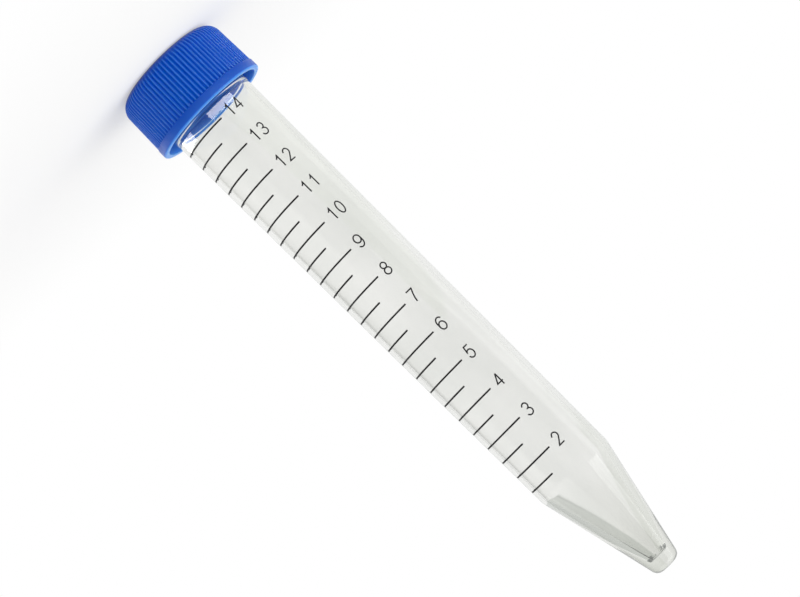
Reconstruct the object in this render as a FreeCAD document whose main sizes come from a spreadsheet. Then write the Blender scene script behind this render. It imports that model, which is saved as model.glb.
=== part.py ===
"""A 15 ml conical centrifuge tube with a screw cap, standing on the cap's flat closed end.

Frame: millimetres, +Z up along the tube's axis from the cap to the tip, origin at the centre of
the cap's flat closed end. The printed scale faces -Y and ends on the +X side.
"""
import FreeCAD, Part
import os
import Sketcher

# ---------------------------------------------------------------- driving sizes
# Lengths in millimetres and angles in degrees. Each is written once, here.
SIZES = {
    "overall_length": 120.0,
    # tube: a thin, slightly tapered body, a thicker cone and a solid flat tip
    "neck_diameter": 16.46,
    "base_diameter": 15.21,
    "body_wall": 0.86,
    "cone_length": 22.15,
    "tip_diameter": 5.0,
    "tip_thickness": 2.6,
    "tip_rounding": 1.5,
    "cavity_end_diameter": 2.4,
    "cavity_end_chamfer": 0.5,
    "mouth_chamfer": 0.25,
    # cap: closed end, drafted skirt, plain lip, and the plug ring that seals the bore
    "cap_height": 11.6,
    "cap_end_thickness": 1.4,
    "cap_end_rounding": 2.6,
    "skirt_end_diameter": 21.4,
    "skirt_lip_diameter": 21.95,
    "thread_root_diameter": 18.7,
    "lip_diameter": 22.2,
    "lip_height": 1.7,
    "lip_chamfer": 0.4,
    "lip_recess_diameter": 20.1,
    "lip_recess_depth": 2.0,
    "plug_clearance": 0.2,
    "plug_wall": 0.9,
    "plug_depth": 3.4,
    "plug_lead": 0.35,
    # grip ribs: what stands between the grooves, whose tool reaches overrun past the skirt
    "rib_count": 90,
    "groove_width": 0.52,
    "groove_depth": 0.3,
    "groove_overrun": 0.06,
    # printed scale
    "first_mark": 1.5,
    "last_mark": 14,
    "mark_step": 0.5,
    "long_mark_angle": 79.0,
    "short_mark_angle": 57.8,
    "scale_edge_angle": 349.0,
    "mark_width": 0.32,
    "ink_thickness": 0.05,
    "ink_clearance": 0.01,
}

MM3_PER_ML = 1000
# The cap's end rounding is two flats that touch its arc, so it turns by 30 degrees three times.
HALF_TURN = 15
MIDDLE_OF_ROUNDING = 45

doc = FreeCAD.newDocument("conical_tube")
sheet = doc.addObject("Spreadsheet::Sheet", "Sizes")
for row, (alias, value) in enumerate(SIZES.items(), start=1):
    sheet.set(f"A{row}", alias.replace("_", " "))
    sheet.set(f"B{row}", str(value))
    sheet.setAlias(f"B{row}", alias)
doc.recompute()


def cell(words):
    """The expression for words, with every size's name turned into its spreadsheet cell."""
    return " ".join(f"Sizes.{word}" if word in SIZES else word for word in words.split())


def number(words):
    """The value that the expression has now."""
    return float(sheet.evalExpression(cell(words)))


# ---------------------------------------------------------------- shared places
# Each is an expression in the sizes above, so that what seats together stays together.
SHOULDER = "( overall_length - cone_length )"
BODY_LENGTH = f"( {SHOULDER} - cap_end_thickness )"
CAVITY_END = "( overall_length - tip_thickness )"
BORE_AT_MOUTH = "( neck_diameter / 2 - body_wall )"
BORE_AT_SHOULDER = "( base_diameter / 2 - body_wall )"
LIP_START = "( cap_height - lip_height )"
SKIRT_GROWTH = f"( ( skirt_lip_diameter - skirt_end_diameter ) / 2 / {LIP_START} )"
ROUNDING_REACH = f"( cap_end_rounding * ( 1 - tan( {HALF_TURN} ) ) )"
ROUNDING_MIDDLE = f"( cap_end_rounding * ( 1 - cos( {MIDDLE_OF_ROUNDING} ) / cos( {HALF_TURN} ) ) )"
PLUG_OUTSIDE = f"( {BORE_AT_MOUTH} - plug_clearance )"
PLUG_INSIDE = f"( {PLUG_OUTSIDE} - plug_wall )"
PLUG_END = "( cap_end_thickness + plug_depth )"


# ---------------------------------------------------------------- helpers
def origin_plane(body, role):
    """One of the body's own origin planes, by its role."""
    return next(item for item in body.Origin.OriginFeatures if item.Role == role)


def closed_sketch(body, name, corners, role="XZ_Plane"):
    """A closed outline through corners, each a pair of expressions tied to the spreadsheet."""
    sketch = body.newObject("Sketcher::SketchObject", name)
    sketch.AttachmentSupport = (origin_plane(body, role), [""])
    sketch.MapMode = "FlatFace"
    places = [FreeCAD.Vector(number(across), number(up), 0) for across, up in corners]
    for start, end in zip(places, places[1:] + places[:1]):
        sketch.addGeometry(Part.LineSegment(start, end), False)
    for index, (across, up) in enumerate(corners):
        before = (index - 1) % len(corners)
        sketch.addConstraint(Sketcher.Constraint("Coincident", before, 2, index, 1))
        for kind, words, axis in (("DistanceX", across, -2), ("DistanceY", up, -1)):
            if words == "0":
                sketch.addConstraint(Sketcher.Constraint("PointOnObject", index, 1, axis))
                continue
            size = Sketcher.Constraint(kind, -1, 1, index, 1, number(words))
            place = sketch.addConstraint(size)
            sketch.renameConstraint(place, f"{kind}{index}")
            sketch.setExpression(f"Constraints.{kind}{index}", cell(words))
    return sketch


def turned(body, kind, name, corners):
    """A full turn of an outline round the Z axis: kind is Revolution or Groove."""
    sketch = closed_sketch(body, f"{name}_outline", corners)
    feature = body.newObject(f"PartDesign::{kind}", name)
    feature.Profile = (sketch, [""])
    feature.ReferenceAxis = (sketch, ["V_Axis"])
    feature.Angle = 360
    doc.recompute()
    return feature


def ring_name(feature, radius, height):
    """The name of the circular edge of that radius round Z at that height."""
    for index, edge in enumerate(feature.Shape.Edges, start=1):
        curve = edge.Curve
        if not isinstance(curve, Part.Circle):
            continue
        if abs(curve.Radius - number(radius)) < 1e-4 and abs(curve.Center.z - number(height)) < 1e-4:
            return f"Edge{index}"
    raise ValueError(f"{feature.Name} has no ring edge at {radius}, {height}")


def eased(body, kind, name, base, size, rings):
    """A Fillet or Chamfer of the named size on the ring edges given as (radius, height)."""
    feature = body.newObject(f"PartDesign::{kind}", name)
    feature.Base = (base, [ring_name(base, radius, height) for radius, height in rings])
    feature.setExpression({"Fillet": "Radius", "Chamfer": "Size"}[kind], cell(size))
    doc.recompute()
    return feature


# ---------------------------------------------------------------- tube
def make_tube():
    """One moulding: open mouth, tapered body, cone, and a solid flat-ended tip."""
    body = doc.addObject("PartDesign::Body", "tube")
    wall = turned(body, "Revolution", "tube_wall", [
        ("neck_diameter / 2", "cap_end_thickness"),
        ("base_diameter / 2", SHOULDER),
        ("tip_diameter / 2", "overall_length"),
        ("0", "overall_length"),
        ("0", CAVITY_END),
        ("cavity_end_diameter / 2", CAVITY_END),
        (BORE_AT_SHOULDER, SHOULDER),
        (BORE_AT_MOUTH, "cap_end_thickness"),
    ])
    tip = eased(body, "Fillet", "tip_edge", wall, "tip_rounding",
                [("tip_diameter / 2", "overall_length")])
    cavity = eased(body, "Chamfer", "cavity_corner", tip, "cavity_end_chamfer",
                   [("cavity_end_diameter / 2", CAVITY_END)])
    eased(body, "Chamfer", "mouth_edge", cavity, "mouth_chamfer",
          [("neck_diameter / 2", "cap_end_thickness"), (BORE_AT_MOUTH, "cap_end_thickness")])
    return body


# ---------------------------------------------------------------- screw cap
def make_cap_blank(body):
    """The cap's outside, solid: drafted skirt, rounded closed end and plain lip."""
    blank = turned(body, "Revolution", "cap_blank", [
        ("0", "0"),
        (f"skirt_end_diameter / 2 - {ROUNDING_REACH}", "0"),
        (f"skirt_end_diameter / 2 - {ROUNDING_MIDDLE}", ROUNDING_MIDDLE),
        (f"skirt_end_diameter / 2 + {SKIRT_GROWTH} * {ROUNDING_REACH}", ROUNDING_REACH),
        ("skirt_lip_diameter / 2", LIP_START),
        ("lip_diameter / 2", LIP_START),
        ("lip_diameter / 2", "cap_height"),
        ("0", "cap_height"),
    ])
    eased(body, "Chamfer", "lip_edge", blank, "lip_chamfer", [("lip_diameter / 2", "cap_height")])


def hollow_cap(body):
    """The cap's inside: thread wall, wider recess at the lip, and the plug ring left standing."""
    return turned(body, "Groove", "cap_hollow", [
        ("0", "cap_end_thickness"),
        (PLUG_INSIDE, "cap_end_thickness"),
        (PLUG_INSIDE, PLUG_END),
        (f"{PLUG_OUTSIDE} - plug_lead", PLUG_END),
        (PLUG_OUTSIDE, f"{PLUG_END} - plug_lead"),
        (PLUG_OUTSIDE, "cap_end_thickness"),
        ("thread_root_diameter / 2", "cap_end_thickness"),
        ("thread_root_diameter / 2", "cap_height - lip_recess_depth"),
        ("lip_recess_diameter / 2", "cap_height - lip_recess_depth"),
        ("lip_recess_diameter / 2", "cap_height"),
        ("0", "cap_height"),
    ])


def cut_grip(body):
    """V grooves from the lip that follow the skirt's draft and run out on the rounded closed end."""
    surface = "skirt_lip_diameter / 2"
    arm = "groove_width / 2 * ( groove_depth + groove_overrun ) / groove_depth"
    section = closed_sketch(body, "groove_section", [
        (f"{surface} - groove_depth", "0"),
        (f"{surface} + groove_overrun", arm),
        (f"{surface} + groove_overrun", f"0 - {arm}"),
    ], role="XY_Plane")
    section.setExpression("AttachmentOffset.Base.z", cell(LIP_START))
    doc.recompute()
    groove = body.newObject("PartDesign::Pocket", "grip_groove")
    groove.Profile = section
    groove.UseCustomVector = True
    groove.AlongSketchNormal = True
    groove.Direction = FreeCAD.Vector(-number(SKIRT_GROWTH), 0, -1)
    groove.setExpression("Length", cell(LIP_START))
    doc.recompute()
    grip = body.newObject("PartDesign::PolarPattern", "grip_grooves")
    grip.Originals = [groove]
    grip.Axis = (section, ["N_Axis"])
    grip.Angle = 360
    grip.setExpression("Occurrences", cell("rib_count"))
    body.Tip = grip
    doc.recompute()


def make_screw_cap():
    """One moulding: ribbed skirt with a rounded closed end, plain lip and plug ring."""
    body = doc.addObject("PartDesign::Body", "screw_cap")
    make_cap_blank(body)
    hollow_cap(body)
    cut_grip(body)
    return body


# ---------------------------------------------------------------- printed scale
def mark_height(millilitres):
    """The height at which the tube holds that volume above its tip.

    The cone's cavity is a frustum and so is the bore above it. Its volume from the shoulder to a
    distance d is pi ((a + g d)^3 - a^3) / (3 g), with a the bore's radius at the shoulder and g
    its growth per millimetre, and this is solved for d.
    """
    start = BORE_AT_SHOULDER
    growth = f"( ( {BORE_AT_MOUTH} - {BORE_AT_SHOULDER} ) / {BODY_LENGTH} )"
    end = "( cavity_end_diameter / 2 )"
    depth = f"( {CAVITY_END} - {SHOULDER} )"
    cone = f"pi * {depth} / 3 * ( {start} ^ 2 + {start} * {end} + {end} ^ 2 )"
    above = f"( {millilitres} * {MM3_PER_ML} - {cone} )"
    distance = f"( cbrt( {start} ^ 3 + 3 * {growth} * {above} / pi ) - {start} ) / {growth}"
    return f"{SHOULDER} - {distance}"


def film_cone(name, angle, lift):
    """A sector of the tube body's cone, lift outside its surface, down from the shoulder."""
    cone = doc.addObject("Part::Cone", name)
    cone.Placement = FreeCAD.Placement(FreeCAD.Vector(), FreeCAD.Rotation(FreeCAD.Vector(1, 0, 0), 180))
    for size, words in (
        ("Radius1", f"base_diameter / 2 + {lift}"),
        ("Radius2", f"neck_diameter / 2 + {lift}"),
        ("Height", BODY_LENGTH),
        ("Angle", angle),
        ("Placement.Base.z", SHOULDER),
    ):
        cone.setExpression(size, cell(words))
    return cone


def make_marks(name, angle, volumes):
    """Marks of one length: an ink film over the body, kept only at the height of each volume."""
    film = doc.addObject("Part::Cut", f"{name}_film")
    film.Base = film_cone(f"{name}_film_outside", angle, "ink_clearance + ink_thickness")
    film.Tool = film_cone(f"{name}_film_inside", angle, "ink_clearance")
    bands = []
    for volume in volumes:
        band = doc.addObject("Part::Cylinder", f"{name}_band")
        band.setExpression("Radius", cell("neck_diameter"))
        band.setExpression("Height", cell("mark_width"))
        band.setExpression("Placement.Base.z", cell(f"{mark_height(volume)} - mark_width / 2"))
        bands.append(band)
    stack = doc.addObject("Part::Compound", f"{name}_bands")
    stack.Links = bands
    marks = doc.addObject("Part::Common", name)
    marks.Base = film
    marks.Tool = stack
    return marks


def make_graduation_marks():
    """Long marks at whole millilitres and short ones at the halves, ending on one meridian."""
    steps = round((number("last_mark") - number("first_mark")) / number("mark_step"))
    volumes = [number("first_mark") + number("mark_step") * step for step in range(steps + 1)]
    whole = [volume for volume in volumes if volume == round(volume)]
    half = [volume for volume in volumes if volume != round(volume)]
    scale = doc.addObject("Part::Compound", "graduation_marks")
    scale.Links = [
        make_marks("long_marks", "long_mark_angle", whole),
        make_marks("short_marks", "short_mark_angle", half),
    ]
    turn = FreeCAD.Rotation(FreeCAD.Vector(0, 0, 1), number("scale_edge_angle"))
    scale.Placement = FreeCAD.Placement(FreeCAD.Vector(), turn)
    doc.recompute()
    return scale


# ---------------------------------------------------------------- build, check, write
def check_document(parts):
    """Stop unless every object recomputed and every part is a valid solid or group of solids."""
    for item in doc.Objects:
        if "Invalid" in item.State or "Error" in item.State:
            raise RuntimeError(f"{item.Name} failed: {item.State}")
    for part in parts:
        shape = part.Shape
        if shape.isNull() or not shape.isValid() or not shape.Solids:
            raise RuntimeError(f"{part.Label} has no valid solid")


parts = [make_tube(), make_screw_cap(), make_graduation_marks()]
doc.recompute()
check_document(parts)

os.makedirs("parts", exist_ok=True)
for part in parts:
    part.Shape.exportStep(f"parts/{part.Label}.step")
    box = part.Shape.BoundBox
    print(f"{part.Label}: {len(part.Shape.Solids)} solid(s), {part.Shape.Volume:.1f} mm3, "
          f"z {box.ZMin:.2f} to {box.ZMax:.2f}")
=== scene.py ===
"""The looks of a 15 ml conical tube with a ribbed screw cap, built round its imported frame.

Lengths are in metres. The part stands on its cap: +Z runs along the axis from the cap's closed end
to the conical tip, and the printed scale faces -Y. Round surfaces are lathed: a profile of radius and
height is carried round the axis, and threads and grip ribs are offsets of its rows and columns.
"""

import bmesh
import bpy
import numpy as np
from bpy.props import FloatProperty, FloatVectorProperty, IntProperty, PointerProperty
from mathutils import Matrix, Vector


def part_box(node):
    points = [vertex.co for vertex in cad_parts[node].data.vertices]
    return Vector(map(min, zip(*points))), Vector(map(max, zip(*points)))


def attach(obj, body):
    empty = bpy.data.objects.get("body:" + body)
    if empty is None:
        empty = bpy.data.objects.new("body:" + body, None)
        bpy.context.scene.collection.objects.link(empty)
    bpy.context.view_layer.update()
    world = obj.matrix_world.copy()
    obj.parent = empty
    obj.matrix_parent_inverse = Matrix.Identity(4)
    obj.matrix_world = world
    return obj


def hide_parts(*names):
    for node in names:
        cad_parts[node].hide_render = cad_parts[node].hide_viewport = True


bl_info = {
    "name": "Conical tube looks",
    "version": (1, 0, 0),
    "blender": (4, 5, 0),
    "location": "3D View > Sidebar > Tube",
    "description": "Builds the visible pieces of a conical tube with a screw cap round its frame",
    "category": "Object",
}

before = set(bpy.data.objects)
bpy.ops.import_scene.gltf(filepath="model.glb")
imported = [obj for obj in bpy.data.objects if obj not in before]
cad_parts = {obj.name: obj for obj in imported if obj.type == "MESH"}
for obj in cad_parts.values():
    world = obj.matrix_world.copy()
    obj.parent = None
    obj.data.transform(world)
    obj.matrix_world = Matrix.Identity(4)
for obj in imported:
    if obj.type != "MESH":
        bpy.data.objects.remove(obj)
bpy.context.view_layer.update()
TUBE_LOW, TUBE_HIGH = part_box("tube")
CAP_LOW, CAP_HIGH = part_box("screw_cap")

MM = 0.001
ML = 1e-6
TURN = 2 * np.pi
MERGE = 1e-8
SHARP = np.radians(28)
# A thread ridge's sloping share of each half of its width, and its fading ends to one turn.
RIDGE_SIDE = 0.62
RIDGE_END = 6


# ---------------------------------------------------------------- sizes and colours
def length(name, description, millimetres):
    """A length property whose default is given in millimetres."""
    return FloatProperty(name=name, description=description, default=millimetres * MM,
                         min=0.0, precision=5, unit="LENGTH", subtype="DISTANCE")


def angle(name, description, degrees):
    """An angle property whose default is given in degrees."""
    return FloatProperty(name=name, description=description, default=np.radians(degrees),
                         unit="ROTATION", subtype="ANGLE")


def colour(name, description, value):
    """A plain colour property."""
    return FloatVectorProperty(name=name, description=description, default=value,
                               size=4, min=0.0, max=1.0, subtype="COLOR")


class TubeSizes(bpy.types.PropertyGroup):
    """What the clear moulding is shaped by."""
    neck_radius: length("Neck radius", "Outside radius at the mouth", TUBE_HIGH.x / MM)
    shoulder_radius: length("Shoulder radius", "Outside radius where the cone starts", 7.605)
    wall: length("Wall", "Thickness of the body's wall", 0.86)
    cone_length: length("Cone length", "Height of the conical end", 22.15)
    tip_radius: length("Tip radius", "Outside radius of the flat tip before its rounding", 2.5)
    tip_thickness: length("Tip thickness", "Solid plastic under the cavity", 2.6)
    tip_rounding: length("Tip rounding", "Radius of the tip's outer edge", 1.5)
    cavity_radius: length("Cavity radius", "Radius of the cavity's flat end", 1.2)
    cavity_rounding: length("Cavity rounding", "Radius of the cavity's end corner", 0.5)
    # Painted shade: how far the dark patch beside the cavity's corner reaches.
    spot_reach: length("Spot reach", "How far the wall looks dark beside that corner", 0.5)
    shoulder_rounding: length("Shoulder rounding", "Radius of the bend above the cone", 4.0)
    mouth_rounding: length("Mouth rounding", "Radius of the mouth's two edges", 0.25)
    bead_height: length("Bead height", "How far the fine ring over the neck stands out", 0.09)
    bead_width: length("Bead width", "Width of the fine ring over the neck", 0.85)
    bead_place: length("Bead place", "Height of the fine ring over the neck", 11.75)
    thread_start: length("Thread start", "Height at which the neck's ridge begins", 3.3)
    thread_height: length("Thread height", "How far the neck's ridge stands out", 0.72)
    thread_width: length("Thread width", "Width of the ridge at its foot", 1.25)
    thread_lead: length("Thread lead", "Rise of the ridge in one turn", 3.0)
    thread_turns: FloatProperty(name="Thread turns", description="Turns that the ridge makes",
                                default=1.6, min=0.0)
    tint: colour("Tint", "Colour of the clear plastic", (0.968, 0.969, 0.954, 1.0))
    cloud: colour("Cloud", "Its colour where it is a little cloudy", (0.915, 0.92, 0.903, 1.0))
    # Painted shade where the outer wall is seen edge on, darkest at the limb; it also stands in for
    # the longer path through the plastic there.
    wall_tint: colour("Wall tint", "Its colour along the wall", (0.865, 0.87, 0.854, 1.0))
    limb: colour("Limb", "Its colour at the very edge", (0.62, 0.625, 0.61, 1.0))
    solid: colour("Solid", "Its colour in the thick tip", (0.81, 0.815, 0.785, 1.0))
    # Painted shade: a dark grey glow on the wall beside the cavity's corner, where it is seen aslant.
    spot: colour("Spot", "Colour of the wall beside the cavity's corner, seen aslant",
                 (0.26, 0.27, 0.26, 1.0))
    # Painted light: a fixed grey glow in place of light reflected in the wall more than twice.
    haze: colour("Haze", "What light becomes that has been reflected in the wall many times",
                 (0.36, 0.37, 0.36, 1.0))


class CapSizes(bpy.types.PropertyGroup):
    """What the blue moulding is shaped by."""
    end_thickness: length("End thickness", "Thickness of the closed end", TUBE_LOW.z / MM)
    end_rounding: length("End rounding", "Radius of the closed end's edge", 2.6)
    skirt_end_radius: length("Skirt radius at the end", "Skirt radius at the closed end", 10.7)
    skirt_lip_radius: length("Skirt radius at the lip", "Skirt radius beside the lip", 10.975)
    lip_height: length("Lip height", "Height of the plain lip", 1.7)
    lip_rounding: length("Lip rounding", "Radius of the lip's outer edge", 0.35)
    recess_radius: length("Recess radius", "Radius of the recess inside the lip", 10.05)
    recess_depth: length("Recess depth", "Depth of the recess inside the lip", 2.0)
    root_radius: length("Thread root radius", "Radius of the wall behind the thread", 9.35)
    thread_height: length("Thread height", "How far the cap's ridge stands in", 0.72)
    thread_offset: length("Thread offset", "How far the ridge lies beyond the neck's", 1.4)
    plug_clearance: length("Plug clearance", "Gap between the plug ring and the bore", 0.2)
    plug_wall: length("Plug wall", "Thickness of the plug ring", 0.9)
    plug_depth: length("Plug depth", "Height of the plug ring", 3.4)
    plug_lead: length("Plug lead", "Size of the plug ring's lead-in", 0.35)
    rib_count: IntProperty(name="Ribs", description="Ribs round the skirt", default=90, min=3)
    groove_share: FloatProperty(name="Groove share", description="Groove width over rib pitch",
                                default=0.68, min=0.1, max=0.95, subtype="FACTOR")
    groove_depth: length("Groove depth", "Depth of the V between two ribs", 0.3)
    dye: colour("Dye", "Colour of the plain plastic", (0.0, 0.072, 0.47, 1.0))
    # Painted light: lighter than the dye, against the shade at the grooves' bottoms.
    deep: colour("Deep", "Colour at the bottom of the grooves", (0.0, 0.11, 0.62, 1.0))
    # Painted highlight on the crests and the lip's rim, and painted light inside the cap, standing in
    # for light through thin plastic.
    crest: colour("Crest", "Colour of thin edges, where light comes through", (0.095, 0.34, 0.86, 1.0))


class ScaleSizes(bpy.types.PropertyGroup):
    """The printed scale: its marks and its numbers."""
    first_long: IntProperty(name="First number", description="Lowest numbered mark", default=2)
    last_long: IntProperty(name="Last number", description="Highest numbered mark", default=14)
    edge_angle: angle("Edge", "Where every mark ends, round from +X", -11.0)
    long_angle: angle("Long marks", "Angle that a long mark spans", 79.0)
    short_angle: angle("Short marks", "Angle that a short mark spans", 57.8)
    mark_width: length("Mark width", "Width of a mark", 0.3)
    ink: length("Ink", "Thickness of the printed film", 0.02)
    lift: length("Lift", "Gap between the film and the plastic", 0.004)
    digit_height: length("Digit height", "Height of a digit between its lines' middles", 2.32)
    digit_width: length("Digit width", "Width of a digit between its lines' middles", 1.2)
    digit_stroke: length("Digit stroke", "Width of a digit's line", 0.25)
    digit_gap: length("Digit gap", "From the long marks' end to the first digit's middle", 1.92)
    digit_step: length("Digit step", "From one digit's middle to the next", 1.9)
    digit_rise: length("Digit rise", "How far digits stand above the middle of their mark", 0.1)
    skew: angle("Skew", "How much longer the marks are at the cap than at the middle", 3.4)
    ink_colour: colour("Ink colour", "Colour of the printed ink", (0.008, 0.008, 0.009, 1.0))


class StageSizes(bpy.types.PropertyGroup):
    """Floor, lamps and camera."""
    floor_size: length("Floor size", "Side of the floor", 6000.0)
    distance: length("Camera distance", "From the axis to the camera", 455.72)
    height: length("Camera height", "Height of the camera over the floor", 84.52)
    tilt: angle("Camera tilt", "How far the camera looks down", 3.518)
    roll: angle("Camera roll", "How far the camera is turned about its own line of sight", 134.74)
    lens: FloatProperty(name="Lens", description="Focal length in millimetres on a 36 mm film",
                        default=121.74, min=1.0)
    key_power: FloatProperty(name="Key power", description="Power of the main soft lamp",
                             default=8.5, min=0.0, unit="POWER")
    fill_power: FloatProperty(name="Fill power", description="Power of the second soft lamp",
                              default=0.8, min=0.0, unit="POWER")
    sky: FloatProperty(name="Sky", description="Strength of the white surroundings", default=0.68,
                       min=0.0)
    window: FloatProperty(name="Window", description="Strength of the light mirrored over the cap",
                          default=13.0, min=0.0)
    window_reach: length("Window reach", "From the axis to the low windows", 76.0)
    window_height: length("Window height", "Height of the low windows", 3.8)
    room: colour("Room", "Colour of the room behind the camera, as reflections show it",
                 (0.2, 0.2, 0.2, 1.0))
    grey_card: colour("Grey card", "Colour of the card beside the backdrop, as the cone shows it",
                      (0.71, 0.73, 0.71, 1.0))
    pale_card: colour("Pale card", "Colour of the card on the backdrop's other side",
                      (0.88, 0.89, 0.87, 1.0))
    low_card: colour("Low card", "Colour of the card on the bench below the pale card",
                     (0.93, 0.94, 0.92, 1.0))
    edge_card: colour("Edge card", "Colour of the strip beside the grey card",
                      (0.5, 0.51, 0.5, 1.0))


# ---------------------------------------------------------------- profiles and meshes
def run(start, end, count):
    """Points of a straight run from start up to, not including, end."""
    share = np.linspace(0.0, 1.0, count, endpoint=False)[:, None]
    return np.asarray(start) + share * (np.asarray(end) - np.asarray(start))


def rounded(corners, radii, steps=8):
    """A profile through corners, where each corner of non-zero radius is an arc.

    The arc touches both runs at radius / tan(half the inner angle) from the corner, and its centre
    lies on the bisector at radius / sin(half the inner angle). Its points are the centre plus the
    two radii to the touching points, blended along the arc.
    """
    corners = np.asarray(corners, float)
    points = [corners[:1]]
    for before, corner, after, radius in zip(corners, corners[1:], corners[2:], radii):
        if radius == 0:
            points.append(corner[None])
            continue
        back = (before - corner) / np.linalg.norm(before - corner)
        on = (after - corner) / np.linalg.norm(after - corner)
        half = np.arccos(np.clip(back @ on, -1, 1)) / 2
        centre = corner + (back + on) / np.linalg.norm(back + on) * radius / np.sin(half)
        first = corner + back * radius / np.tan(half) - centre
        last = corner + on * radius / np.tan(half) - centre
        turn = np.pi - 2 * half
        share = np.linspace(0.0, 1.0, steps + 1)[:, None]
        arc = (np.sin((1 - share) * turn) * first + np.sin(share * turn) * last) / np.sin(turn)
        points.append(centre + arc)
    points.append(corners[-1:])
    return np.vstack(points)


def split_run(profile, low, high, step):
    """The profile with extra points, about a step apart, on what lies between two heights."""
    points = [profile[:1]]
    for start, end in zip(profile, profile[1:]):
        first, last = np.clip([start[1], end[1]], low, high)
        count = int(np.ceil(abs(last - first) / step))
        if count:
            share = (np.linspace(first, last, count + 1) - start[1]) / (end[1] - start[1])
            points.append(start + share[:, None] * (end - start))
        points.append(end[None])
    points = np.vstack(points)
    moved = np.abs(np.diff(points, axis=0)).max(axis=1) > MERGE
    return points[np.concatenate([[True], moved])]


def ring_angles(count):
    """Equal angles round the axis."""
    return np.arange(count) / count * TURN


def helix_ridge(angles, heights, start, lead, turns, width, depth):
    """A ridge's height at each angle and height: a flat-topped wave along a helix.

    The ridge's middle is at start + lead * turn. Its section falls off smoothly over the outer
    share of its width on each side, and it fades in and out over a share of a turn.
    """
    ridge = np.zeros(np.broadcast(angles, heights).shape)
    for lap in range(int(np.ceil(turns)) + 1):
        turn = angles / TURN + lap
        away = np.abs(heights - start - lead * turn) / (width / 2)
        side = np.clip((1 - away) / RIDGE_SIDE, 0, 1)
        ends = np.clip(np.minimum(turn, turns - turn) * RIDGE_END, 0, 1)
        ridge = np.maximum(ridge, smooth(side) * smooth(ends))
    return ridge * depth


def smooth(share):
    """The cubic that eases from 0 to 1."""
    return share * share * (3 - 2 * share)


def lathe(radii, heights, angles):
    """Rows of points at radii and heights, each carried round the axis by angles."""
    radii = np.broadcast_to(radii, np.broadcast(radii, angles).shape)
    heights = np.broadcast_to(heights, radii.shape)
    return np.stack([radii * np.cos(angles), radii * np.sin(angles), heights], axis=-1)


def grid_faces(rows, columns, first=0):
    """Quads between the rows of a grid whose columns run round and close on themselves."""
    row, column = np.meshgrid(np.arange(rows - 1), np.arange(columns), indexing="ij")
    right = (column + 1) % columns
    quads = np.stack([row * columns + column, row * columns + right,
                      (row + 1) * columns + right, (row + 1) * columns + column], axis=-1)
    return quads.reshape(-1, 4) + first


def surface(name, grids, mask, values):
    """One closed piece made of grids of points, joined where their edges meet.

    Each grid is an array of rows, columns and three coordinates, closed round its columns. values
    has one value for each point, and is kept as the attribute that mask names.
    """
    points = np.vstack([grid.reshape(-1, 3) for grid in grids])
    starts = np.cumsum([0] + [grid.shape[0] * grid.shape[1] for grid in grids])
    faces = np.vstack([grid_faces(*grid.shape[:2], first=start)
                       for grid, start in zip(grids, starts)])
    mesh = bpy.data.meshes.new(name)
    mesh.from_pydata(points.tolist(), [], faces.tolist())
    kept = mesh.attributes.new(mask, "FLOAT", "POINT")
    kept.data.foreach_set("value", values.ravel())
    return show(name, mesh, joined=True)


def show(name, mesh, joined=False):
    """An object at the origin for the mesh, with its faces turned outwards.

    Where joined is true, points that coincide are joined first. It is shaded smooth but for its
    sharp edges.
    """
    shape = bmesh.new()
    shape.from_mesh(mesh)
    if joined:
        bmesh.ops.remove_doubles(shape, verts=shape.verts, dist=MERGE)
        bmesh.ops.dissolve_degenerate(shape, edges=shape.edges, dist=MERGE)
    bmesh.ops.recalc_face_normals(shape, faces=shape.faces)
    shape.to_mesh(mesh)
    shape.free()
    mesh.shade_smooth()
    mesh.set_sharp_from_angle(angle=SHARP)
    piece = bpy.data.objects.new(name, mesh)
    bpy.context.scene.collection.objects.link(piece)
    return piece


# ---------------------------------------------------------------- materials
def new_material(name):
    """A new material, and its node tree."""
    material = bpy.data.materials.new(name)
    material.use_nodes = True
    return material, material.node_tree


def node(tree, kind, **inputs):
    """A node of that kind, with inputs given by name as values or as sockets to link."""
    made = tree.nodes.new(kind)
    for name, value in inputs.items():
        socket = made.inputs[name.replace("_", " ")]
        if isinstance(value, bpy.types.NodeSocket):
            tree.links.new(value, socket)
        else:
            socket.default_value = value
    return made


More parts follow.
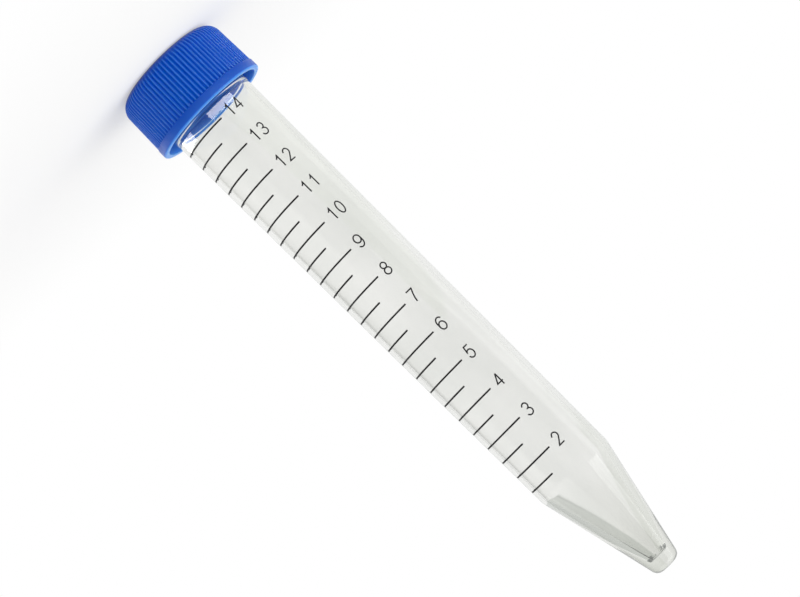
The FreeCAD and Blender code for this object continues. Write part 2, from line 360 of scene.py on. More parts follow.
def moulded_group():
    """A shader node group for moulded plastic: slow waves, fine grain, and an uneven gloss."""
    group = bpy.data.node_groups.new("moulded_plastic", "ShaderNodeTree")
    for name, kind, value in (
        ("Stretch", "NodeSocketVector", (1.0, 1.0, 1.0)),
        ("Wave Size", "NodeSocketFloat", 60.0),
        ("Wave Height", "NodeSocketFloat", 0.1),
        ("Grain Size", "NodeSocketFloat", 4000.0),
        ("Grain Height", "NodeSocketFloat", 0.02),
        ("Gloss", "NodeSocketFloat", 0.2),
        ("Gloss Change", "NodeSocketFloat", 0.05),
    ):
        socket = group.interface.new_socket(name, in_out="INPUT", socket_type=kind)
        socket.default_value = value
    for name, kind in (("Roughness", "NodeSocketFloat"), ("Cloud", "NodeSocketFloat"),
                       ("Normal", "NodeSocketVector")):
        group.interface.new_socket(name, in_out="OUTPUT", socket_type=kind)
    given = group.nodes.new("NodeGroupInput").outputs
    result = group.nodes.new("NodeGroupOutput").inputs
    place = node(group, "ShaderNodeTexCoord").outputs["Object"]
    stretched = node(group, "ShaderNodeVectorMath")
    stretched.operation = "MULTIPLY"
    group.links.new(place, stretched.inputs[0])
    group.links.new(given["Stretch"], stretched.inputs[1])
    wave = node(group, "ShaderNodeTexNoise", Vector=stretched.outputs[0], Scale=given["Wave Size"],
                Detail=2.0)
    grain = node(group, "ShaderNodeTexNoise", Vector=place, Scale=given["Grain Size"], Detail=1.0)
    waves = node(group, "ShaderNodeBump", Height=wave.outputs["Fac"], Strength=given["Wave Height"],
                 Distance=0.002)
    grains = node(group, "ShaderNodeBump", Height=grain.outputs["Fac"], Distance=0.0001,
                  Strength=given["Grain Height"], Normal=waves.outputs["Normal"])
    gloss = node(group, "ShaderNodeMath")
    gloss.operation = "MULTIPLY_ADD"
    group.links.new(wave.outputs["Fac"], gloss.inputs[0])
    group.links.new(given["Gloss Change"], gloss.inputs[1])
    group.links.new(given["Gloss"], gloss.inputs[2])
    group.links.new(gloss.outputs[0], result["Roughness"])
    group.links.new(wave.outputs["Fac"], result["Cloud"])
    group.links.new(grains.outputs["Normal"], result["Normal"])
    return group


def plastic(name, moulded, **values):
    """A Principled material with the moulded group placed in it under its own values."""
    material, tree = new_material(name)
    shader = tree.nodes["Principled BSDF"]
    finish = tree.nodes.new("ShaderNodeGroup")
    finish.node_tree = moulded
    for socket, value in values.items():
        finish.inputs[socket.replace("_", " ")].default_value = value
    tree.links.new(finish.outputs["Roughness"], shader.inputs["Roughness"])
    tree.links.new(finish.outputs["Normal"], shader.inputs["Normal"])
    return material, tree, shader, finish


def attribute(tree, name):
    """The value that a mesh keeps under that name."""
    kept = node(tree, "ShaderNodeAttribute")
    kept.attribute_name = name
    return kept.outputs["Fac"]


def combined(tree, operation, first, *others):
    """One value made of several, taken in turn by a Math node's operation."""
    for other in others:
        step = tree.nodes.new("ShaderNodeMath")
        step.operation = operation
        tree.links.new(first, step.inputs[0])
        tree.links.new(other, step.inputs[1])
        first = step.outputs[0]
    return first


def ranged(tree, value, low=0.0, high=1.0, start=0.0, end=1.0):
    """The value with low to high carried onto start to end, and held at its ends."""
    return node(tree, "ShaderNodeMapRange", Value=value, From_Min=low, From_Max=high,
                To_Min=start, To_Max=end).outputs[0]


def finish_surface(tree, shader, *layers):
    """Puts the shader on the material's surface, under layers of a share and another shader."""
    for share, other in layers:
        mix = node(tree, "ShaderNodeMixShader", Fac=share)
        tree.links.new(shader.outputs[0], mix.inputs[1])
        tree.links.new(other.outputs[0], mix.inputs[2])
        shader = mix
    tree.links.new(shader.outputs[0], tree.nodes["Material Output"].inputs["Surface"])


def clear_plastic(sizes, moulded):
    """Clear polypropylene, a touch cloudy along its flow, with painted shade where its outer wall is
    seen edge on and beside the cavity's corner, and painted light where rays are reflected in the wall
    many times.
    """
    material, tree, shader, finish = plastic(
        "clear_polypropylene", moulded, Stretch=(1.0, 1.0, 0.3), Wave_Size=160.0, Wave_Height=0.004,
        Grain_Size=6000.0, Grain_Height=0.0, Gloss=0.01, Gloss_Change=0.05)
    cloud = ranged(tree, finish.outputs["Cloud"], 0.35, 0.65)
    tint = node(tree, "ShaderNodeMixRGB", Fac=cloud, Color1=sizes.tint, Color2=sizes.cloud)
    depth = attribute(tree, "depth")
    outer = ranged(tree, depth)
    # Painted shade: the outer wall's colour darkens where it is seen edge on, most at the limb.
    front = ranged(tree, node(tree, "ShaderNodeNewGeometry").outputs["Backfacing"], start=1.0, end=0.0)
    facing = node(tree, "ShaderNodeLayerWeight", Blend=0.5).outputs["Facing"]
    edge_on_shade = node(tree, "ShaderNodeValToRGB", Fac=combined(tree, "MULTIPLY", facing, front, outer))
    ramp = edge_on_shade.color_ramp.elements
    ramp[0].position, ramp[0].color = 0.42, (1, 1, 1, 1)
    ramp[1].color = sizes.limb
    for place in (0.56, 0.85):
        ramp.new(place).color = sizes.wall_tint
    solid = node(tree, "ShaderNodeMixRGB", Fac=ranged(tree, depth, 1.0, 2.0),
                 Color1=(1, 1, 1, 1), Color2=sizes.solid)
    for share in (edge_on_shade, solid):
        both = node(tree, "ShaderNodeMixRGB", Fac=1.0, Color1=tint.outputs["Color"],
                    Color2=share.outputs["Color"])
        both.blend_type = "MULTIPLY"
        tint = both
    tree.links.new(tint.outputs["Color"], shader.inputs["Base Color"])
    shader.inputs["Transmission Weight"].default_value = 1.0
    shader.inputs["IOR"].default_value = 1.49
    path = node(tree, "ShaderNodeLightPath").outputs
    soft = combined(tree, "MAXIMUM", path["Is Shadow Ray"], path["Is Diffuse Ray"])
    through = node(tree, "ShaderNodeBsdfTransparent", Color=(0.93, 0.93, 0.93, 1))
    # Painted light: a grey glow where a ray has been reflected in the wall more than twice.
    haze = node(tree, "ShaderNodeEmission", Color=sizes.haze, Strength=1.0)
    trapped = ranged(tree, path["Glossy Depth"], 2.0, 4.0)
    # Painted shade: a dark glow beside the cavity's corner, where the wall is seen aslant.
    spot = node(tree, "ShaderNodeEmission", Color=sizes.spot, Strength=1.0)
    beside = combined(tree, "MULTIPLY", ranged(tree, depth, high=-1.0), ranged(tree, facing, 0.2, 0.4))
    finish_surface(tree, shader, (beside, spot), (trapped, haze), (soft, through))
    return material


def blue_plastic(sizes, moulded):
    """Dyed polyethylene, satin. Its colour has painted light: a lighter blue at the grooves' bottoms
    against the shade the grooves cast, and lighter still on the crests, at the lip's rim and inside
    the cap.
    """
    material, tree, shader, _ = plastic(
        "blue_polyethylene", moulded, Wave_Size=120.0, Wave_Height=0.05, Grain_Size=5000.0,
        Grain_Height=0.2, Gloss=0.3, Gloss_Change=0.1)
    # Painted light: the ramp runs from the grooves' bottoms through the plain dye to the crests, the
    # lip's rim and the inside.
    tint = node(tree, "ShaderNodeValToRGB", Fac=attribute(tree, "painted_light"))
    ramp = tint.color_ramp.elements
    ramp[0].color, ramp[1].color = sizes.deep, sizes.crest
    ramp.new(PLAIN).color = sizes.dye
    tree.links.new(tint.outputs["Color"], shader.inputs["Base Color"])
    shader.inputs["Specular IOR Level"].default_value = 0.2
    shader.inputs["Subsurface Weight"].default_value = 0.6
    shader.inputs["Subsurface Radius"].default_value = (0.2, 0.8, 1.6)
    shader.inputs["Subsurface Scale"].default_value = MM
    return material


def printed_ink(sizes, moulded):
    """Screen-printed ink, slightly thinner in places."""
    material, tree, shader, finish = plastic(
        "printed_ink", moulded, Wave_Size=900.0, Wave_Height=0.02, Grain_Size=9000.0,
        Grain_Height=0.2, Gloss=0.42, Gloss_Change=0.15)
    tint = node(tree, "ShaderNodeMixRGB", Fac=finish.outputs["Cloud"],
                Color1=sizes.ink_colour, Color2=tuple(c * 1.8 for c in sizes.ink_colour))
    tree.links.new(tint.outputs["Color"], shader.inputs["Base Color"])
    return material


def moulded_plastic():
    """The shared node group, built once."""
    return bpy.data.node_groups.get("moulded_plastic") or moulded_group()


# ---------------------------------------------------------------- the tube
TUBE_COLUMNS = 512
THREAD_STEP = 0.14 * MM


def tube_radius(sizes, height):
    """Outside radius of the tapered body at a height: it falls evenly from mouth to shoulder."""
    shoulder = TUBE_HIGH.z - sizes.cone_length
    share = (height - TUBE_LOW.z) / (shoulder - TUBE_LOW.z)
    return sizes.neck_radius + (sizes.shoulder_radius - sizes.neck_radius) * share


def tube_outside(sizes):
    """Profile of the tube's outside, from the middle of the mouth's rim to the tip's middle."""
    mouth, tip = TUBE_LOW.z, TUBE_HIGH.z
    shoulder = tip - sizes.cone_length
    rim = sizes.neck_radius - sizes.wall / 2
    return rounded(
        [(rim, mouth), (sizes.neck_radius, mouth), (sizes.shoulder_radius, shoulder),
         (sizes.tip_radius, tip), (0.0, tip)],
        [sizes.mouth_rounding, sizes.shoulder_rounding, sizes.tip_rounding])


def tube_inside(sizes):
    """Profile of the tube's inside, from the cavity's middle back to the mouth's rim."""
    mouth, end = TUBE_LOW.z, TUBE_HIGH.z - sizes.tip_thickness
    shoulder = TUBE_HIGH.z - sizes.cone_length
    rim = sizes.neck_radius - sizes.wall / 2
    return rounded(
        [(0.0, end), (sizes.cavity_radius, end), (sizes.shoulder_radius - sizes.wall, shoulder),
         (sizes.neck_radius - sizes.wall, mouth), (rim, mouth)],
        [sizes.cavity_rounding, sizes.shoulder_rounding, sizes.mouth_rounding])


class TUBE_OT_body(bpy.types.Operator):
    """Builds the clear tube: threaded neck, tapered body, cone and solid tip"""
    bl_idname = "tube.body"
    bl_label = "Tube"

    def execute(self, context):
        sizes = context.scene.tube_sizes
        angles = ring_angles(TUBE_COLUMNS)
        top = sizes.bead_place + sizes.bead_width
        outside = split_run(tube_outside(sizes), TUBE_LOW.z, top, THREAD_STEP)
        radii, heights = outside[:, :1], outside[:, 1:]
        ridge = helix_ridge(angles[None], heights, sizes.thread_start, sizes.thread_lead,
                            sizes.thread_turns, sizes.thread_width, sizes.thread_height)
        away = np.abs(heights - sizes.bead_place) / (sizes.bead_width / 2)
        bead = smooth(np.clip(1 - away, 0, 1)) * sizes.bead_height
        end = TUBE_HIGH.z - sizes.tip_thickness
        # Extra rows near the cavity's end carry the painted shade beside its corner; its mask is
        # negative depth there.
        inside = split_run(tube_inside(sizes), end - 3 * sizes.spot_reach, end, sizes.spot_reach / 8)
        away = np.hypot(inside[:, :1] - sizes.cavity_radius, inside[:, 1:] - end + sizes.spot_reach)
        spot = -smooth(np.clip(2 - 2 * away / sizes.spot_reach, 0, 1))
        grids = [lathe(radii + ridge + bead, heights, angles[None]),
                 lathe(inside[:, :1], inside[:, 1:], angles[None])]
        # Depth runs 1 to 2 up the cone outside, for the thick tip's colour; inside it carries the
        # painted shade beside the cavity's corner.
        cone = (heights - TUBE_HIGH.z + sizes.cone_length) / (sizes.cone_length - sizes.tip_thickness)
        depth = np.vstack([1 + smooth(np.clip(cone, 0, 1)), spot])
        piece = surface("tube_moulding", grids, "depth", np.repeat(depth, angles.size, axis=1))
        piece.data.materials.append(clear_plastic(sizes, moulded_plastic()))
        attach(piece, "tube")
        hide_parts("tube")
        return {"FINISHED"}


# ---------------------------------------------------------------- the cap
WALL_ROWS = 60
# Painted light on the cap, as a place on its colour ramp: 0 at a groove's bottom, PLAIN for the plain
# dye, 1 at a free edge.
PLAIN = 0.5
# Painted highlight on the crests, and painted light inside the cap.
CREST_LIGHT = 0.65
INSIDE_LIGHT = 0.65
# How far below the lip's rim the painted highlight reaches, inside the recess and outside it.
LIGHT_REACH_INSIDE = 2.2 * MM
LIGHT_REACH_OUTSIDE = 0.4 * MM
# How near the recess's wall a row may be and still count as on it.
NEAR = 0.01 * MM
# Where a groove has run out on the closed end's rounding, and where it is full.
RUN_OUT = np.radians([52, 30])
LEDGE_ROUNDING = 0.04 * MM
EDGE_ROUNDING = 0.1 * MM
CORNER_ROUNDING = 0.2 * MM


def rib_angles(count, groove_share):
    """Angles of the ribs' columns, and the groove's depth at each as a share of the whole.

    One rib is its flat crest, a point on each side of either crest edge, and a V whose bottom is
    half a pitch away, so the share rises straight from the crest's edge to the V's bottom.
    """
    crest = (1 - groove_share) / 2
    places = np.array([0.0, crest * 0.75, crest + 0.03, 0.35, 0.5, 0.65, 1 - crest - 0.03,
                       1 - crest * 0.75])
    depth = np.clip((np.minimum(places, 1 - places) - crest) / (0.5 - crest), 0, 1)
    angles = (np.arange(count)[:, None] + places) / count * TURN
    return angles.ravel(), np.tile(depth, count)


def skirt_profile(sizes):
    """Profile of the closed end and the skirt, from the end's middle to the lip's ledge."""
    ledge = CAP_HIGH.z - sizes.lip_height
    turned = rounded([(0.0, 0.0), (sizes.skirt_end_radius, 0.0), (sizes.skirt_lip_radius, ledge)],
                     [sizes.end_rounding], steps=12)
    return np.vstack([turned[:-1], run(turned[-2], turned[-1], 4)[1:], turned[-1:]])


def lip_profile(sizes):
    """Profile of the lip and the recess inside it, from the ledge to the threaded wall."""
    ledge, top = CAP_HIGH.z - sizes.lip_height, CAP_HIGH.z
    floor = top - sizes.recess_depth
    return rounded(
        [(sizes.skirt_lip_radius, ledge), (CAP_HIGH.x, ledge), (CAP_HIGH.x, top),
         (sizes.recess_radius, top), (sizes.recess_radius, floor), (sizes.root_radius, floor)],
        [LEDGE_ROUNDING, sizes.lip_rounding, CORNER_ROUNDING, 0.0], steps=6)[1:]


def plug_profile(sizes, tube):
    """Profile of the cap's inner end, from the threaded wall round the plug ring to the middle."""
    outside = tube.neck_radius - tube.wall - sizes.plug_clearance
    inside = outside - sizes.plug_wall
    floor = sizes.end_thickness
    end = floor + sizes.plug_depth
    return rounded(
        [(sizes.root_radius, floor), (outside, floor), (outside, end - sizes.plug_lead),
         (outside - sizes.plug_lead, end), (inside, end), (inside, floor), (0.0, floor)],
        [EDGE_ROUNDING, 0.0, EDGE_ROUNDING, EDGE_ROUNDING, CORNER_ROUNDING], steps=4)


def grooved(profile, groove, sizes):
    """Radii and heights of the skirt with its grooves, and the grooves' strength on each row.

    A groove is cut along the profile's normal. It is full on the skirt and runs out on the closed
    end's rounding.
    """
    share = (1 - np.sin(RUN_OUT)) * sizes.end_rounding
    strength = smooth(np.clip((profile[:, 1] - share[0]) / (share[1] - share[0]), 0, 1))[:, None]
    along = np.gradient(profile, axis=0)
    along /= np.linalg.norm(along, axis=1, keepdims=True)
    depth = strength * groove * sizes.groove_depth
    return profile[:, :1] - depth * along[:, 1:], profile[:, 1:] + depth * along[:, :1], strength


class TUBE_OT_cap(bpy.types.Operator):
    """Builds the ribbed screw cap with its thread, lip and plug ring"""
    bl_idname = "tube.cap"
    bl_label = "Screw cap"

    def execute(self, context):
        sizes, tube = context.scene.cap_sizes, context.scene.tube_sizes
        angles, groove = rib_angles(sizes.rib_count, sizes.groove_share)
        angles, groove = angles[None], groove[None]
        radii, heights, strength = grooved(skirt_profile(sizes), groove, sizes)
        lip, plug = lip_profile(sizes), plug_profile(sizes, tube)
        wall = run(lip[-1], plug[0], WALL_ROWS)[1:]
        ridge = helix_ridge(angles, wall[:, 1:], tube.thread_start + sizes.thread_offset,
                            tube.thread_lead, tube.thread_turns, tube.thread_width,
                            sizes.thread_height)
        rest = np.vstack([lip, wall, plug])
        inward = np.zeros((len(rest), angles.size))
        inward[len(lip):len(lip) + len(wall)] = ridge
        points = np.vstack([lathe(radii, heights, angles),
                            lathe(rest[:, :1] - inward, rest[:, 1:], angles)])
        # Painted light: the crests lighter than the dye, the grooves' bottoms lighter against their
        # shade, and the lip's rim and the cap's inside lighter still.
        ribs = PLAIN + strength * np.where(groove > 0, -PLAIN * groove, CREST_LIGHT - PLAIN)
        inside = rest[:, :1] < sizes.recess_radius + NEAR
        edge = 1 + (rest[:, 1:] - CAP_HIGH.z) / np.where(inside, LIGHT_REACH_INSIDE, LIGHT_REACH_OUTSIDE)
        edge = np.clip(edge, 0, 1)
        edge[rest[:, 0] < sizes.recess_radius - NEAR] = INSIDE_LIGHT
        lips = np.broadcast_to(PLAIN + (1 - PLAIN) * edge, inward.shape)
        piece = surface("cap_moulding", [points], "painted_light", np.vstack([ribs, lips]))
        piece.data.materials.append(blue_plastic(sizes, moulded_plastic()))
        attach(piece, "cap")
        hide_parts("screw_cap")
        return {"FINISHED"}


# ---------------------------------------------------------------- the printed scale
# Each digit is drawn with single lines in a unit box. A pair is a point, across and up. Six values
# are an arc: its middle across and up, its two radii, and the angles at its start and end in degrees.
DIGITS = {
    "0": [[(0.5, 0.5, 0.5, 0.5, 90, 450)]],
    "1": [[(0.2, 0.75), (0.46, 0.85), (0.62, 1.0), (0.62, 0.0)]],
    "2": [[(0.5, 0.72, 0.46, 0.28, 172, -32), (0.5, 0.3), (0.02, 0.0), (1.0, 0.0)]],
    "3": [[(0.48, 0.76, 0.42, 0.24, 165, -90), (0.48, 0.26, 0.5, 0.26, 90, -165)]],
    "4": [[(0.75, 0.0), (0.75, 1.0)], [(0.75, 1.0), (0.0, 0.29), (1.0, 0.29)]],
    "5": [[(0.93, 1.0), (0.24, 1.0), (0.1, 0.5), (0.48, 0.33, 0.5, 0.33, 138, -165)]],
    "6": [[(0.55, 0.62, 0.55, 0.38, 35, 180), (0.5, 0.32, 0.5, 0.32, 180, 540)]],
    "7": [[(0.0, 1.0), (1.0, 1.0), (0.68, 0.62), (0.48, 0.32), (0.37, 0.0)]],
    "8": [[(0.5, 0.76, 0.42, 0.24, -90, 270)], [(0.5, 0.26, 0.5, 0.26, 90, 450)]],
    "9": [[(0.45, 0.38, 0.55, 0.38, -145, 0), (0.5, 0.68, 0.5, 0.32, 0, 360)]],
}
STROKE_STEP = 0.1 * MM
ARC_STEP = 10
MARK_POINTS = 48


def stroke_path(items):
    """Points of one line of a digit, with its arcs worked out."""
    points = []
    for item in items:
        if len(item) == 2:
            points.append([item])
            continue
        across, up, wide, high, start, end = item
        turn = np.radians(np.linspace(start, end, int(abs(end - start) / ARC_STEP) + 2))
        points.append(np.stack([across + wide * np.cos(turn), up + high * np.sin(turn)], axis=1))
    return np.vstack(points)


def even_path(points, step):
    """The same path with points about step apart, and a point at every one of its corners."""
    points = points[np.concatenate([[True], np.linalg.norm(np.diff(points, axis=0), axis=1) > 1e-9])]
    pieces = [run(start, end, max(1, int(np.ceil(np.linalg.norm(end - start) / step))))
              for start, end in zip(points, points[1:])]
    return np.vstack([*pieces, points[-1:]])


def ribbon_edges(path, width):
    """Left and right edges of a ribbon of that width along a path.

    At each point the edge moves along the mean of the two runs' normals, lengthened by one over the
    cosine of half the turn between them, so that the runs on either side keep their width.
    """
    runs = np.diff(path, axis=0)
    runs /= np.linalg.norm(runs, axis=1, keepdims=True)
    normals = np.stack([-runs[:, 1], runs[:, 0]], axis=1)
    before = np.vstack([normals[:1], normals])
    after = np.vstack([normals, normals[-1:]])
    middle = before + after
    middle /= np.maximum(np.linalg.norm(middle, axis=1, keepdims=True), 1e-9)
    reach = 1 / np.maximum(np.sum(middle * after, axis=1, keepdims=True), 0.55)
    offset = middle * reach * width / 2
    return path + offset, path - offset


def film(tube, left, right, lift, thickness):
    """A closed film over the body between two edges.

    An edge's first coordinate is an angle round the axis and its second a height. The film's
    section is a rectangle: both edges at the body's radius plus lift, and again thickness higher.
    """
    rings = []
    for edge, height in ((left, lift), (left, lift + thickness), (right, lift + thickness),
                         (right, lift)):
        radius = tube_radius(tube, edge[:, 1]) + height
        rings.append(np.stack([radius * np.cos(edge[:, 0]), radius * np.sin(edge[:, 0]),
                               edge[:, 1]], axis=1))
    return np.stack(rings, axis=1)


def film_piece(name, strips):
    """One piece made of closed strips, each an array of sections of four points."""
    points, faces, start = [], [], 0
    for strip in strips:
        rows = strip.shape[0]
        points.append(strip.reshape(-1, 3))
        ends = np.array([[3, 2, 1, 0], np.arange(4) + 4 * (rows - 1)])
        faces.append(np.vstack([grid_faces(rows, 4), ends]) + start)
        start += 4 * rows
    mesh = bpy.data.meshes.new(name)
    mesh.from_pydata(np.vstack(points).tolist(), [], np.vstack(faces).tolist())
    return show(name, mesh)


def mark_height(tube, volume):
    """The height at which the tube holds that volume above its tip.

    The cone's cavity is a frustum and so is the bore over it, whose volume from the shoulder to a
    distance d is pi ((a + g d)^3 - a^3) / (3 g), with a its radius at the shoulder and g its growth
    for each unit of height. This is solved for d.
    """
    shoulder = TUBE_HIGH.z - tube.cone_length
    start = tube.shoulder_radius - tube.wall
    growth = (tube.neck_radius - tube.shoulder_radius) / (shoulder - TUBE_LOW.z)
    depth = tube.cone_length - tube.tip_thickness
    end = tube.cavity_radius
    cone = np.pi * depth / 3 * (start ** 2 + start * end + end ** 2)
    distance = (np.cbrt(start ** 3 + 3 * growth * (volume - cone) / np.pi) - start) / growth
    return shoulder - distance


def skew_at(sizes, height):
    """How much the print is drawn out round the tube: it eases in from mid height to the cap."""
    middle = (TUBE_HIGH.z + TUBE_LOW.z) / 2
    return sizes.skew * smooth(np.clip((middle - height) / (middle - CAP_HIGH.z), 0, 1))


def number_strips(tube, sizes, number):
    """The strips of one printed number, with its digits' tops towards the cap."""
    height = mark_height(tube, number * ML) - sizes.digit_rise
    radius = tube_radius(tube, height)
    edge = sizes.edge_angle - sizes.long_angle - skew_at(sizes, height)
    box = (sizes.digit_width, sizes.digit_height)
    strips = []
    for index, digit in enumerate(str(number)):
        middle = sizes.digit_gap + index * sizes.digit_step
        for stroke in DIGITS[digit]:
            path = (stroke_path(stroke) - 0.5) * box
            left, right = ribbon_edges(even_path(path, STROKE_STEP), sizes.digit_stroke)
            wrapped = [np.stack([edge - (middle + side[:, 0]) / radius, height - side[:, 1]], axis=1)
                       for side in (left, right)]
            strips.append(film(tube, *wrapped, sizes.lift, sizes.ink))
    return strips


class TUBE_OT_scale(bpy.types.Operator):
    """Prints the volume scale: long and short marks, and a number at each whole millilitre"""
    bl_idname = "tube.scale"
    bl_label = "Printed scale"

    def execute(self, context):
        sizes, tube = context.scene.scale_sizes, context.scene.tube_sizes
        ink = printed_ink(sizes, moulded_plastic())
        whole = np.arange(sizes.first_long, sizes.last_long + 1)
        marks = []
        for volumes, span in ((whole, sizes.long_angle), (whole - 0.5, sizes.short_angle)):
            for height in mark_height(tube, volumes * ML):
                end = sizes.edge_angle - span - skew_at(sizes, height)
                turn = np.linspace(sizes.edge_angle, end, MARK_POINTS)
                half = np.full(MARK_POINTS, sizes.mark_width / 2)
                edges = [np.stack([turn, height + side * half], axis=1) for side in (-1, 1)]
                marks.append(film(tube, *edges, sizes.lift, sizes.ink))
        numbers = [strip for number in whole for strip in number_strips(tube, sizes, int(number))]
        printed = film_piece("printed_marks", marks)
        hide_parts("graduation_marks")
        for piece in (printed, film_piece("printed_numbers", numbers)):
            piece.data.materials.append(ink)
            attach(piece, "tube")
        return {"FINISHED"}


# ---------------------------------------------------------------- stage
# How far from the axis the floor's shadow starts to fade, and where it has faded.
SHADOW_REACH = (12 * MM, 120 * MM)
# Two low windows: their bearings round the axis from -Y in degrees, and their share of the strength.
WINDOWS = {"front": ((-64, 12), 1.0), "right": ((72, 125), 0.8)}
WINDOW_FACES = 8
# How slanting a window's light may be before it starts to fade, and where it has faded.
WINDOW_SLANT = (0.018, 0.034)


def seen_directly(tree):
    """One where a ray comes from the camera, or by mirror or glass, and nought for soft light."""
    path = node(tree, "ShaderNodeLightPath").outputs
    return combined(tree, "MAXIMUM", path["Is Camera Ray"], path["Is Glossy Ray"],
                    path["Is Transmission Ray"])


def white_floor():
    """A matt white floor: it takes the light round the part, and is plain white further away."""
    material, tree = new_material("white_floor")
    shader = tree.nodes["Principled BSDF"]
    shader.inputs["Base Color"].default_value = (0.92, 0.92, 0.92, 1)
    shader.inputs["Roughness"].default_value = 0.9
    shader.inputs["Specular IOR Level"].default_value = 0.0
    glow = node(tree, "ShaderNodeEmission", Strength=1.0)
    away = node(tree, "ShaderNodeVectorMath")
    away.operation = "LENGTH"
    tree.links.new(node(tree, "ShaderNodeTexCoord").outputs["Object"], away.inputs[0])
    plain = ranged(tree, away.outputs["Value"], *SHADOW_REACH, start=0.45)
    plain.node.interpolation_type = "SMOOTHSTEP"
    finish_surface(tree, shader, (combined(tree, "MULTIPLY", seen_directly(tree), plain), glow))
    return material


def upright(start, end, low, high):
    """Corners of an upright card over the line from start to end, between two heights."""
    return [(*start, low), (*end, low), (*end, high), (*start, high)]


def low_window(start, end, reach, high):
    """Corners of a low upright card that keeps its reach from the axis between two bearings."""
    bearings = np.linspace(start, end, WINDOW_FACES + 1)
    foot = np.stack([np.sin(bearings), -np.cos(bearings)], axis=1) * reach
    return [corner for first, last in zip(foot, foot[1:])
            for corner in upright(first, last, 0.0, high)]


def mirror_share(tree, bare):
    """One in reflections, and nought for a ray that was never reflected.

    Where bare is true, it is also nought for a ray that went through plastic on its way, or that
    comes in steeply: a low window throws its light level.
    """
    path = node(tree, "ShaderNodeLightPath").outputs
    share = ranged(tree, path["Glossy Depth"])
    if bare:
        outside = ranged(tree, path["Transmission Depth"], start=1.0, end=0.0)
        slant = node(tree, "ShaderNodeLayerWeight", Blend=0.5).outputs["Facing"]
        level = ranged(tree, slant, *WINDOW_SLANT, start=1.0, end=0.0)
        share = combined(tree, "MULTIPLY", share, outside, level)
    return share


def studio_card(name, corners, value, mirrored=False, strength=1.0, bare=False):
    """A card that is never seen itself, only through clear plastic, with four corners to a face.

    A mirrored card shows in reflections alone: any ray that was never reflected passes through it.
    """
    mesh = bpy.data.meshes.new(name)
    mesh.from_pydata(corners, [], np.arange(len(corners)).reshape(-1, 4).tolist())
    material, tree = new_material(name)
    material.cycles.emission_sampling = "NONE"
    glow = node(tree, "ShaderNodeEmission", Color=value, Strength=strength)
    if mirrored:
        through = tree.nodes.new("ShaderNodeBsdfTransparent")
        finish_surface(tree, through, (mirror_share(tree, bare), glow))
    else:
        finish_surface(tree, glow)
    mesh.materials.append(material)
    card = bpy.data.objects.new(name, mesh)
    card.visible_camera = card.visible_diffuse = card.visible_shadow = False
    card.visible_glossy = mirrored
    bpy.context.scene.collection.objects.link(card)


def studio_cards(sizes):
    """The room round the bench: cards seen in mirror images, and cards seen through the tube."""
    room, grey, pale, edge = sizes.room, sizes.grey_card, sizes.pale_card, sizes.edge_card
    bench = [(-0.6, -0.9, 0.001), (1.6, -0.9, 0.001), (1.2, 1.0, 0.001), (0.02, -0.02, 0.001)]
    roof = [(-0.8, -0.8, 1.3), (0.8, -0.8, 1.3), (0.8, 0.8, 1.3), (-0.8, 0.8, 1.3)]
    low = [(0.0, 0.05, 0.001), (-0.1, 2.5, 0.001), (-2.5, 1.0, 0.001), (-0.05, 0.02, 0.001)]
    studio_card("bench_card", bench, room, mirrored=True)
    studio_card("room_behind", upright((-3.0, -0.9), (1.6, -0.9), 0.0, 1.6), room, mirrored=True)
    studio_card("room_beside", upright((1.6, -0.9), (1.2, 1.1), 0.0, 1.6), room, mirrored=True)
    studio_card("roof_card", roof, edge)
    studio_card("grey_card", upright((0.12, 1.45), (1.41, 0.51), 0.25, 1.2), grey)
    studio_card("edge_card", upright((0.1, 1.25), (0.18, 1.24), 0.24, 1.2), edge)
    studio_card("pale_card", upright((-1.41, 0.51), (-0.23, 1.45), 0.13, 1.2), pale)
    studio_card("low_card", low, sizes.low_card)
    studio_card("dark_card", upright((-0.82, 0.94), (-0.93, 0.84), 0.55, 1.2), room)
    for side, (bearings, share) in WINDOWS.items():
        corners = low_window(*np.radians(bearings), sizes.window_reach, sizes.window_height)
        studio_card("window_" + side, corners, pale, mirrored=True,
                    strength=sizes.window * share, bare=True)


def white_world(sizes):
    """White surroundings: plain white where they are seen, softer where they only light."""
    world = bpy.data.worlds.new("white_world")
    world.use_nodes = True
    tree = world.node_tree
    shade = tree.nodes["Background"]
    shade.inputs["Color"].default_value = (1, 1, 1, 1)
    tree.links.new(ranged(tree, seen_directly(tree), start=sizes.sky), shade.inputs["Strength"])
    return world


def soft_lamp(name, place, target, size, power):
    """A square lamp that faces its target."""
    lamp = bpy.data.lights.new(name, "AREA")
    lamp.shape = "SQUARE"
    lamp.size = size
    lamp.energy = power
    holder = bpy.data.objects.new(name, lamp)
    holder.location = place
    holder.rotation_euler = (Vector(target) - Vector(place)).to_track_quat("-Z", "Y").to_euler()
    holder.visible_transmission = False
    bpy.context.scene.collection.objects.link(holder)


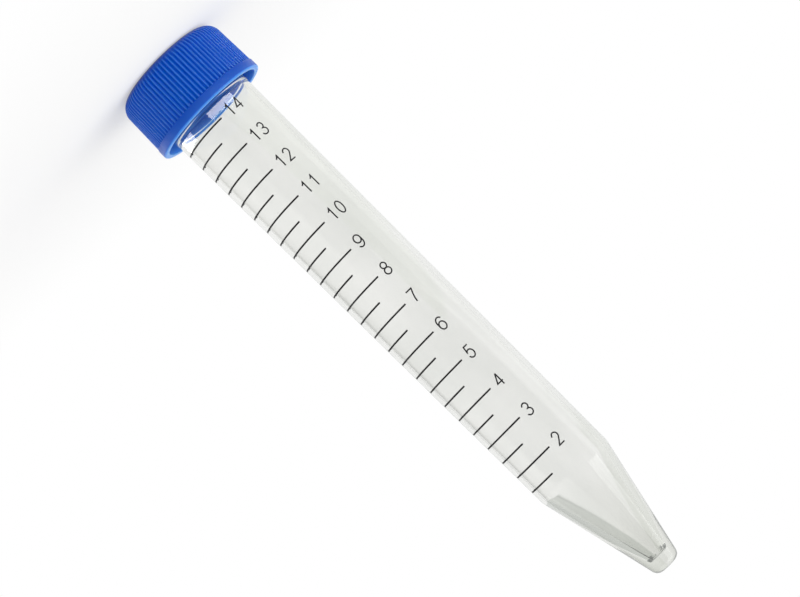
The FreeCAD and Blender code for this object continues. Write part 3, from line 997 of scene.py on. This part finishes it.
class TUBE_OT_stage(bpy.types.Operator):
    """Sets the floor, the white surroundings, the lamps and the camera"""
    bl_idname = "tube.stage"
    bl_label = "Stage"

    def execute(self, context):
        sizes, scene = context.scene.stage_sizes, context.scene
        half = sizes.floor_size / 2
        mesh = bpy.data.meshes.new("floor")
        mesh.from_pydata([(-half, -half, 0), (half, -half, 0), (half, half, 0), (-half, half, 0)],
                         [], [(0, 1, 2, 3)])
        floor = bpy.data.objects.new("floor", mesh)
        scene.collection.objects.link(floor)
        mesh.materials.append(white_floor())
        scene.world = white_world(sizes)
        middle = (0, 0, 0.06)
        soft_lamp("key_lamp", (-0.7, -0.5, 1.0), middle, 1.2, sizes.key_power)
        soft_lamp("fill_lamp", (0.9, -0.4, 0.6), middle, 1.0, sizes.fill_power)
        studio_cards(sizes)
        camera = bpy.data.cameras.new("camera")
        camera.lens = sizes.lens
        camera.sensor_width = 36.0
        camera.clip_start = 0.01
        holder = bpy.data.objects.new("camera", camera)
        holder.matrix_world = (Matrix.Translation((0, -sizes.distance, sizes.height))
                               @ Matrix.Rotation(np.pi / 2 - sizes.tilt, 4, "X")
                               @ Matrix.Rotation(sizes.roll, 4, "Z"))
        scene.collection.objects.link(holder)
        scene.camera = holder
        scene.view_settings.view_transform = "Standard"
        return {"FINISHED"}


# ---------------------------------------------------------------- panel and registration
class TUBE_PT_panel(bpy.types.Panel):
    """The tube's sizes and the steps that build it"""
    bl_idname = "TUBE_PT_panel"
    bl_label = "Conical tube"
    bl_space_type = "VIEW_3D"
    bl_region_type = "UI"
    bl_category = "Tube"

    def draw(self, context):
        layout = self.layout
        for group, step in STEPS.items():
            layout.operator(step.bl_idname)
            sizes = getattr(context.scene, group)
            for name in sizes.bl_rna.properties.keys():
                if name not in ("rna_type", "name"):
                    layout.prop(sizes, name)


SIZES = {"tube_sizes": TubeSizes, "cap_sizes": CapSizes, "scale_sizes": ScaleSizes,
         "stage_sizes": StageSizes}
STEPS = dict(zip(SIZES, (TUBE_OT_body, TUBE_OT_cap, TUBE_OT_scale, TUBE_OT_stage)))
CLASSES = (*SIZES.values(), *STEPS.values(), TUBE_PT_panel)


def register():
    for item in CLASSES:
        bpy.utils.register_class(item)
    for name, group in SIZES.items():
        setattr(bpy.types.Scene, name, PointerProperty(type=group))


def unregister():
    for name in SIZES:
        delattr(bpy.types.Scene, name)
    for item in reversed(CLASSES):
        bpy.utils.unregister_class(item)


def main():
    """Builds every piece and the stage."""
    register()
    bpy.ops.tube.body()
    bpy.ops.tube.cap()
    bpy.ops.tube.scale()
    bpy.ops.tube.stage()
    bpy.context.view_layer.update()


if __name__ == "__main__":
    main()
